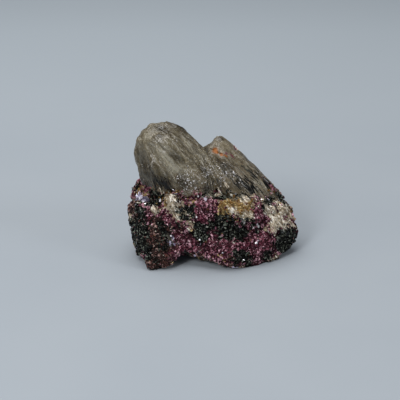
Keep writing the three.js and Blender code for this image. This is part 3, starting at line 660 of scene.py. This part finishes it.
# Pale and dark hair lines come from the thin noise; the pale ones are flaws and painted glints. The veins are
# broken up by the fine fibres.
fibred = {tint: add_node(tree, "ShaderNodeMath", {0: strength[tint], 1: fine.outputs["Fac"]},
                         operation="MULTIPLY").outputs[0]
          for tint in [*VEINS, "ochre_stain"]}
parts = {}
for part, value, start, end, full in (
    # name, what it follows, where it starts, where it is full and how strong it is then
    # flaws are pale flaws and painted glints along the thin fibres
    ("flaws_and_glints", thin.outputs["Fac"], 0.6, 0.67, 0.55), ("gaps", thin.outputs["Fac"], 0.4, 0.33, 0.5),
    ("brown", fibred["brown_vein"], 0.12, 0.5, 0.8), ("black", fibred["black_vein"], 0.15, 0.4, 0.97),
    # shade is painted shade over the smoky patches
    ("shade", strength["smoky_and_shade"], 0.0, 1.0, 0.6), ("iron", strength["iron_stain"], 0.0, 0.35, 1.0),
    ("rosy", strength["rosy"], 0.0, 0.5, 1.0),
):
    parts[part] = add_node(tree, "ShaderNodeMapRange", {
        "Value": value, "From Min": start, "From Max": end, "To Max": full}).outputs[0]
pale_line_and_glint = add_node(tree, "ShaderNodeMath", {0: fibred["pale_vein_and_glint"], 1: parts["flaws_and_glints"]}, operation="MAXIMUM")
brown_line = add_node(tree, "ShaderNodeMath", {0: parts["brown"], 1: parts["gaps"]}, operation="MAXIMUM")
colour = faced.outputs[2]
for part, tint in (
    (pale_line_and_glint.outputs[0], QUARTZ_FLAW_AND_GLINT), (brown_line.outputs[0], QUARTZ_DEEP), (parts["black"], QUARTZ_SMOKE),
    (parts["shade"], QUARTZ_SHADE), (fibred["ochre_stain"], OCHRE_STAIN), (parts["iron"], IRON_STAIN),
    (parts["rosy"], ROSY_STAIN),
):
    colour = add_node(tree, "ShaderNodeMix", {0: part, 6: colour, 7: linear(tint)},
                      data_type="RGBA").outputs[2]
bump = add_node(tree, "ShaderNodeBump", {"Height": streaks.outputs[0], "Strength": 0.2, "Distance": 0.3 * MM})
# A crust of stain or of black needles keeps the light out, and takes the shine away.
crust = strength["iron_stain"]
for part in (strength["rosy"], parts["black"], fibred["ochre_stain"]):
    crust = add_node(tree, "ShaderNodeMath", {0: crust, 1: part}, operation="MAXIMUM").outputs[0]
crusted = add_node(tree, "ShaderNodeMath", {0: crust, 1: 1.6}, operation="POWER").outputs[0]
clear = add_node(tree, "ShaderNodeMapRange", {"Value": crusted, "To Min": 0.65, "To Max": 0.05})
gloss = add_node(tree, "ShaderNodeMapRange", {"Value": crust, "To Min": 0.24, "To Max": 0.6})
surface = add_node(tree, "ShaderNodeBsdfPrincipled", {
    "Base Color": colour, "Roughness": gloss.outputs[0], "IOR": QUARTZ_IOR,
    "Transmission Weight": clear.outputs[0], "Normal": bump.outputs[0]})
tree.links.new(surface.outputs[0], output.inputs["Surface"])
quartz.data.materials.clear()
quartz.data.materials.append(clouded)
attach(quartz, "root")
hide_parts("quartz_mass")


# ------------------------------------------------------------------ grains on the rock

# The ends of single crystals that stand out of the broken rock: scaly lepidolite books, stubby black
# tourmaline, bladed feldspar. They are rooted in the rock, lie at every angle, and creep up the quartz.
SEAM_REACH = 2.6 * MM
# Right, up and radius (mm) of the places where rock grains coat the quartz above the seam.
QUARTZ_COATS = [
    (13, 7.3, 1.5), (14.7, 3.8, 1.8), (8.5, 3, 2), (-2, 3, 2.5), (34.5, 3.5, 1.5), (37.8, 7.5, 1.8),
    (40, 4, 2.2), (-29, 8, 2.5), (18, 26, 1.3), (33, 12, 1.2), (-22, 6, 2), (-10, 3.5, 2), (4, 2.5, 2),
]
# Right, up and radius (mm) of the places where the quartz stays bare down to the seam.
BARE_QUARTZ = [(19, 4, 7), (28.5, 5, 4)]
# The least share of each mineral anywhere, for the single grains that lie scattered in every patch.
STRAY_SHARES = (0.014, 0.03, 0.014, 0.005, 0.02, 0.001, 0.016)
rock_points, rock_normals = points_and_normals(rock.data)
quartz_points, quartz_normals = points_and_normals(quartz.data)
coat = np.zeros(len(quartz_points))
for right, up, radius in QUARTZ_COATS:
    coat = np.maximum(coat, bell(quartz_points, right, up, radius, (quartz_solid,)))
# Grains also coat the quartz close to the rock, up to a ragged edge.
rock_tree = BVHTree.FromObject(rock, bpy.context.evaluated_depsgraph_get())
FAR_FROM_ROCK = 1.0
near_rock = np.array([rock_tree.find_nearest(point, 2 * SEAM_REACH)[3] or FAR_FROM_ROCK
                      for point in quartz_points.tolist()])
reach = SEAM_REACH * (0.55 + 0.6 * waves(quartz_points, 5 * MM, 61))
bare = np.zeros(len(quartz_points), dtype=bool)
for right, up, radius in BARE_QUARTZ:
    bare |= np.sum((quartz_points - np.array(on_surface(right, up))) ** 2, axis=-1) < (radius * MM) ** 2
coated = ((near_rock < reach) & ~bare) | (coat > 0.5 + 0.25 * waves(quartz_points, 1.5 * MM, 62))
grain_points = np.vstack([rock_points, quartz_points[coated]])
grain_normals = np.vstack([rock_normals, quartz_normals[coated]])
grain_shares = np.vstack([shares, mineral_shares(quartz_points[coated])])
LOWEST_GRAIN = 0.8 * MM
# With less luck than one the common mineral of a place is drawn a little more often than its share.
LUCK = 0.9


def grain_places(spacing, seed, wanted):
    """Spots for the grains of one mineral, with their normals and its share there. The surface points are
    shuffled, and the first in each cube of the given spacing is kept. Its mineral is drawn from the shares:
    the one for which the logarithm of the share plus a Gumbel number is the highest."""
    dice = np.random.default_rng(seed)
    order = dice.permutation(len(grain_points))
    cubes = np.floor(grain_points[order] / spacing).astype(np.int64)
    _, first = np.unique(cubes, axis=0, return_index=True)
    chosen = order[first]
    chosen = chosen[grain_points[chosen, 2] > LOWEST_GRAIN]
    luck = -np.log(-np.log(dice.uniform(1e-6, 1 - 1e-6, (len(chosen), len(MINERALS)))))
    kind = np.argmax(np.log(grain_shares[chosen] + np.array(STRAY_SHARES)) + LUCK * luck, axis=1)
    chosen = chosen[kind == MINERALS.index(wanted)]
    return grain_points[chosen], grain_normals[chosen], grain_shares[chosen, MINERALS.index(wanted)]


def turned_to(normals, lean, dice, grain_way, spread):
    """A rotation for each normal: +Z goes to the normal with a random lean, and +X to the way that the
    crystals lie, with a random spread. A wide spread leaves them at every angle."""
    axis = normals + lean * dice.normal(size=normals.shape)
    axis /= np.linalg.norm(axis, axis=1, keepdims=True)
    long = np.array(grain_way) + spread * dice.normal(size=axis.shape)
    side = np.cross(axis, long)
    side /= np.linalg.norm(side, axis=1, keepdims=True)
    return np.stack([np.cross(side, axis), side, axis], axis=-1)


# No corner of a crystal goes lower, so that none reaches the floor.
LOWEST_CORNER = 0.05 * MM


def joined_grains(name, shape, faces, places, normals, sizes, turns, jitter, sink, dice, slot):
    """One mesh of many copies of a small shape. Each copy is scaled, its corners jittered, turned to the
    surface, moved to its place and sunk in by a share of its height. Its tone is seven tenths chance and
    three tenths a noise that its neighbours share."""
    copies = len(places)
    corners = np.repeat(shape[None, :, :], copies, axis=0) * sizes[:, None, :]
    corners[:, :, :2] *= 1 + jitter * dice.normal(size=corners[:, :, :2].shape)
    rooted = places - sink * sizes[:, 2:] * normals
    placed = np.einsum("nij,nkj->nki", turns, corners) + rooted[:, None, :]
    placed[:, :, 2] = np.maximum(placed[:, :, 2], LOWEST_CORNER)
    count = len(shape)
    starts = (np.arange(copies) * count).tolist()
    all_faces = [tuple(start + corner for corner in face) for start in starts for face in faces]
    mesh = bpy.data.meshes.new(name)
    mesh.from_pydata(placed.reshape(-1, 3), [], all_faces)
    tone = 0.7 * dice.uniform(size=copies) + 0.3 * np.clip(0.5 + 0.9 * waves(places, 3 * MM, 90), 0, 1)
    put_attribute(mesh, "tone", np.repeat(tone, count))
    piece = bpy.data.objects.new(name, mesh)
    bpy.context.collection.objects.link(piece)
    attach(piece, "root")
    return piece


def prism(sides, height):
    """The corners and faces of a prism one unit wide: its corners stand at even angles round a circle, and
    it has a flat end at the top and bottom."""
    angles = np.arange(sides) * 2 * math.pi / sides
    ring = np.stack([np.cos(angles), np.sin(angles)], axis=-1) / 2
    low = np.column_stack([ring, np.full(sides, -height / 2)])
    high = np.column_stack([ring, np.full(sides, height / 2)])
    faces = [tuple(range(sides - 1, -1, -1)), tuple(range(sides, 2 * sides))]
    faces += [(k, (k + 1) % sides, sides + (k + 1) % sides, sides + k) for k in range(sides)]
    return np.vstack([low, high]), faces


def grain_material(name, dark, middle, light, roughness, specular, coat):
    """A crystal's colour runs from dark over middle to light with its own tone, and noise of about a
    millimetre clouds it, as flaws inside do."""
    material, tree, output = new_material(name)
    position = add_node(tree, "ShaderNodeTexCoord").outputs["Object"]
    tone = add_node(tree, "ShaderNodeAttribute", attribute_name="tone").outputs["Fac"]
    clouds = add_node(tree, "ShaderNodeTexNoise", {"Vector": position, "Scale": 1100.0, "Detail": 2.0})
    mixed = add_node(tree, "ShaderNodeMath", {0: clouds.outputs["Fac"], 1: 0.5, 2: tone},
                     operation="MULTIPLY_ADD")
    level = add_node(tree, "ShaderNodeMapRange", {"Value": mixed.outputs[0], "From Max": 1.5})
    ramp = add_node(tree, "ShaderNodeValToRGB", {"Fac": level.outputs[0]})
    ramp.color_ramp.elements[0].position = 0.28
    ramp.color_ramp.elements[0].color = linear(dark)
    ramp.color_ramp.elements[1].position = 0.74
    ramp.color_ramp.elements[1].color = linear(light)
    ramp.color_ramp.elements.new(0.52).color = linear(middle)
    surface = add_node(tree, "ShaderNodeBsdfPrincipled", {
        "Base Color": ramp.outputs["Color"], "Roughness": roughness, "Specular IOR Level": specular,
        "Coat Weight": coat, "Coat Roughness": 0.12})
    tree.links.new(surface.outputs[0], output.inputs["Surface"])
    return material


# Each mineral as its broken grains look. Lepidolite is raspberry mica with a pearly flash. Broken tourmaline
# is dull black with grey flecks that are painted glints, and its whole crystals are glassy. Feldspar is cream
# with bright cleavage faces, or ochre where iron has soaked in. Rusty mica is brown and weathered, smoky
# quartz glassy and grey-brown, and lilac mica pale with a strong pearly shine.
GRAIN_LOOKS = {
    # material: mineral, dark, middle and light colour, roughness, specular level, coat
    "lepidolite": ("lepidolite", "#25080f", "#7b394a", "#dbabb8", 0.28, 0.32, 0.0),
    # Broken tourmaline: its light colour paints grey glints on the few grains whose tone reaches it.
    "broken_tourmaline": ("tourmaline", "#010100", "#050504", "#7d8276", 0.3, 0.03, 0.0),
    "black_tourmaline": ("tourmaline", "#020201", "#050605", "#0c0d0b", 0.14, 0.45, 0.0),
    "cream_feldspar": ("feldspar", "#755f49", "#c9bba4", "#f8f3e8", 0.35, 0.4, 0.0),
    "iron_stained_feldspar": ("stained_feldspar", "#4e2c08", "#805a20", "#c9b27e", 0.3, 0.35, 0.0),
    "rusty_mica": ("rusty_mica", "#0e0606", "#5e342d", "#b0918a", 0.34, 0.2, 0.0),
    "smoky_quartz": ("smoky_quartz", "#1c1d15", "#5f5948", "#aea999", 0.2, 0.5, 0.0),
    "lilac_mica": ("lilac_mica", "#5d5468", "#a49db4", "#ded8ea", 0.2, 0.8, 0.3),
}
grain_materials = {name: grain_material(name, *looks) for name, (_, *looks) in GRAIN_LOOKS.items()}
# The way that the blades of feldspar lie. A spread of ANY leaves the other grains at every angle.
BLADE_WAY = (-0.53, 0.0, 0.85)
ANY = 9
# How far the length and the height of a grain vary, over what its width makes them.
LENGTHS = (0.8, 1.3)
HEIGHTS = (0.7, 1.3)
PLACE_SEED = 7
GRAIN_SEED = 100
GRAIN_KINDS = {
    # piece: material, shape, (smallest, largest) width, length over width, spacing, lean, spread, jitter
    # and sink, with the width and spacing in mm and the rest as shares
    "lepidolite_scales": ("lepidolite", prism(5, 0.45), (0.6, 1.5), 1.0, 0.75, 0.45, ANY, 0.16, 0.3),
    "lepidolite_books": ("lepidolite", prism(5, 0.5), (1.1, 2.2), 1.0, 2.2, 0.5, ANY, 0.2, 0.45),
    "tourmaline_grains": ("broken_tourmaline", prism(4, 0.8), (0.4, 1.0), 1.4, 0.62, 0.5, ANY, 0.16, 0.4),
    "tourmaline_crystals": ("black_tourmaline", prism(6, 0.8), (0.9, 1.7), 1.5, 2.0, 0.35, ANY, 0.1, 0.45),
    "feldspar_blades": ("cream_feldspar", prism(4, 0.6), (0.4, 0.8), 3.6, 0.75, 0.15, 0.2, 0.16, 0.3),
    "feldspar_blocks": ("cream_feldspar", prism(4, 0.4), (1.3, 2.4), 1.6, 1.9, 0.1, 0.35, 0.14, 0.6),
    "stained_blades": ("iron_stained_feldspar", prism(5, 0.7), (0.5, 1.2), 1.1, 0.75, 0.4, ANY, 0.16, 0.33),
    "stained_blocks": ("iron_stained_feldspar", prism(4, 0.4), (1.3, 2.4), 1.4, 1.9, 0.15, ANY, 0.14, 0.6),
    "rusty_scales": ("rusty_mica", prism(5, 0.5), (0.5, 1.2), 1.0, 0.7, 0.45, ANY, 0.16, 0.3),
    "rusty_books": ("rusty_mica", prism(6, 0.5), (1.3, 2.2), 1.0, 2.8, 0.5, ANY, 0.12, 0.4),
    "smoky_blades": ("smoky_quartz", prism(4, 0.6), (0.5, 1.0), 2.6, 0.7, 0.2, 0.2, 0.14, 0.33),
    "lilac_books": ("lilac_mica", prism(6, 0.25), (1.1, 2.3), 1.0, 0.9, 0.5, ANY, 0.1, 0.1),
}
for number, (name, kind) in enumerate(GRAIN_KINDS.items()):
    material, shape, widths, length, spacing, lean, spread, jitter, sink = kind
    dice = np.random.default_rng(GRAIN_SEED + number)
    places, place_normals, purity = grain_places(spacing * MM, PLACE_SEED, GRAIN_LOOKS[material][0])
    width = dice.uniform(*widths, size=len(places)) * MM
    # Single blades scattered in another mineral stay short.
    stretch = (1 + (length - 1) * purity) * dice.uniform(*LENGTHS, len(places))
    sizes = np.stack([width * stretch, width, width * dice.uniform(*HEIGHTS, len(places))], axis=-1)
    turns = turned_to(place_normals, lean, dice, BLADE_WAY, spread)
    grains_piece = joined_grains(name, *shape, places, place_normals, sizes, turns, jitter, sink, dice,
                                 "lepidolite_rock")
    grains_piece.data.materials.append(grain_materials[material])


# ------------------------------------------------------------------ tourmaline needles

# Black tourmaline also grew through the ridge of quartz as long needles, in line with its fibres. They lie
# open on the broken face, glassy and jet black.
# Right, up, radius of the patch (mm) and number of needles.
NEEDLES = [
    (22, 8.5, 3, 26), (26.5, 5, 2.5, 18), (33.4, 8.4, 1.7, 22), (28, 12, 3, 12), (39.5, 3.2, 1.5, 8),
    (9, 3, 2.5, 10), (-20, 8.5, 2, 9), (-16, 7, 2, 9),
]
# The least and greatest width (mm) and length over width, and how far a needle strays from the fibres.
NEEDLE_WIDTH = (0.28, 0.55)
NEEDLE_LENGTH = (6, 14)
NEEDLE_STRAY = 0.05
NEEDLE_SEED = 79
dice = np.random.default_rng(NEEDLE_SEED)
needle_rows = []
for right, up, radius, count in NEEDLES:
    nearness = bell(quartz_points, right, up, radius, (quartz_solid,))
    chances = nearness / nearness.sum()
    needle_rows.append(dice.choice(len(quartz_points), size=count, replace=False, p=chances))
needle_rows = np.concatenate(needle_rows)
needle_count = len(needle_rows)
needle_normals = quartz_normals[needle_rows]
needle_ways = fan_coordinates(quartz_points[needle_rows])[1]
needle_ways = needle_ways + NEEDLE_STRAY * dice.normal(size=(needle_count, 3))
needle_width = dice.uniform(*NEEDLE_WIDTH, needle_count) * MM
needle_length = needle_width * dice.uniform(*NEEDLE_LENGTH, needle_count)
needle_sizes = np.stack([needle_length, needle_width, needle_width * 0.8], axis=-1)
needle_turns = turned_to(needle_normals, 0.1, dice, needle_ways, spread=0.0)
needles = joined_grains("tourmaline_needles", *prism(6, 1.0), quartz_points[needle_rows], needle_normals,
                        needle_sizes, needle_turns, jitter=0.06, sink=0.15, dice=dice, slot="lepidolite_rock")
needles.data.materials.append(grain_materials["black_tourmaline"])


# ------------------------------------------------------------------ mica plates

# A few larger cleavage plates of pale mica, split flat as mica does. They are rooted deep in the rock, and
# lie square between the light and the eye, so that they flash white.
# Right, up, width (mm).
PLATES = [
    (2.9, 0.4, 2.1), (-0.7, 1.8, 0.9), (-19.7, -0.4, 1.6), (29.3, -13.3, 1.7), (28.7, -12.2, 1.2),
    (26.8, -14, 1), (28.2, -21.5, 1.4), (29.3, -20.4, 0.9), (-14.3, -18, 1.2), (-1.5, -8.5, 0.9),
    (11.5, -26.5, 0.8), (22, -30, 0.8), (34, 0.2, 1.5), (31, 0.3, 0.9), (0, -20, 0.9), (-28.4, -0.9, 1.1),
    (-30, 0.8, 0.8), (-27.3, -1.9, 0.9),
]
# The least and greatest length over width.
PLATE_LENGTH = (0.5, 0.8)
PLATE_DEPTH = 2.4 * MM
PLATE_LIFT = 0.2 * MM
PLATE_SEED = 77
key_way = (Vector(LIGHTS[1][1]).normalized() + towards_camera).normalized()
dice = np.random.default_rng(PLATE_SEED)
plate_places = np.array([on_surface(right, up, (rock_tree, quartz_solid)) for right, up, width in PLATES])
plate_normals = np.tile(np.array(key_way), (len(PLATES), 1))
plate_width = np.array([width for right, up, width in PLATES]) * MM
plate_sizes = np.stack([plate_width, plate_width * dice.uniform(*PLATE_LENGTH, len(PLATES)),
                        np.full(len(PLATES), PLATE_DEPTH)], axis=-1)
plate_turns = turned_to(plate_normals, 0.1, dice, (1, 0, 0), spread=ANY)
plates = joined_grains("mica_plates", *prism(5, 0.6), plate_places + plate_normals * PLATE_LIFT,
                       plate_normals, plate_sizes, plate_turns, jitter=0.15, sink=0.0, dice=dice,
                       slot="lepidolite_rock")
# Pearly mica: almost white, with a clear shine over a silvery one.
plates.data.materials.append(grain_material("pearly_mica", "#c4bdca", "#e3dfe6", "#f8f6f9", 0.2, 1.0, 0.5))


# ------------------------------------------------------------------ druse

# A sugar of tiny quartz crystals that grew last, on the broken faces of the quartz. Each has its own facets,
# so that the crust glitters. Each crystal is also painted at random from grey, as painted shade, to white, as
# painted glints.
# Right, up, radius (mm).
DRUSE_PATCHES = [
    (-4.5, 9, 4), (-9, 12.5, 3), (6, 16, 3), (3, 12, 2.5), (11.5, 11.5, 2.5), (20, 10.5, 1.7), (16.5, 13, 2),
]
# The share of the surface points that carry a crystal, its least and greatest width (mm), and its height
# over its width.
DRUSE_SHARE = 0.28
DRUSE_WIDTH = (0.22, 0.58)
DRUSE_HEIGHT = 1.4
DRUSE_SEED = 78
dice = np.random.default_rng(DRUSE_SEED)
druse_weight = np.zeros(len(quartz_points))
for right, up, radius in DRUSE_PATCHES:
    druse_weight += bell(quartz_points, right, up, radius, (quartz_solid,))
grown = dice.uniform(size=len(quartz_points)) < DRUSE_SHARE * np.clip(druse_weight, 0, 1)
kept = np.flatnonzero(grown & ~coated)
druse_width = dice.uniform(*DRUSE_WIDTH, len(kept)) * MM
druse_sizes = np.stack([druse_width, druse_width, druse_width * DRUSE_HEIGHT], axis=-1)
druse_turns = turned_to(quartz_normals[kept], 0.9, dice, (1, 0, 0), spread=ANY)
druse = joined_grains("quartz_druse", *prism(5, 0.8), quartz_points[kept], quartz_normals[kept], druse_sizes,
                      druse_turns, jitter=0.15, sink=0.2, dice=dice, slot="grey_quartz")
# Sugary quartz: colourless and very smooth. Its colour runs with a random tone from grey, painted shade, to
# white, painted glints.
druse.data.materials.append(grain_material("sugary_quartz", "#3b3529", "#8a8273", "#f2f0f4", 0.12, 0.7, 0.0))
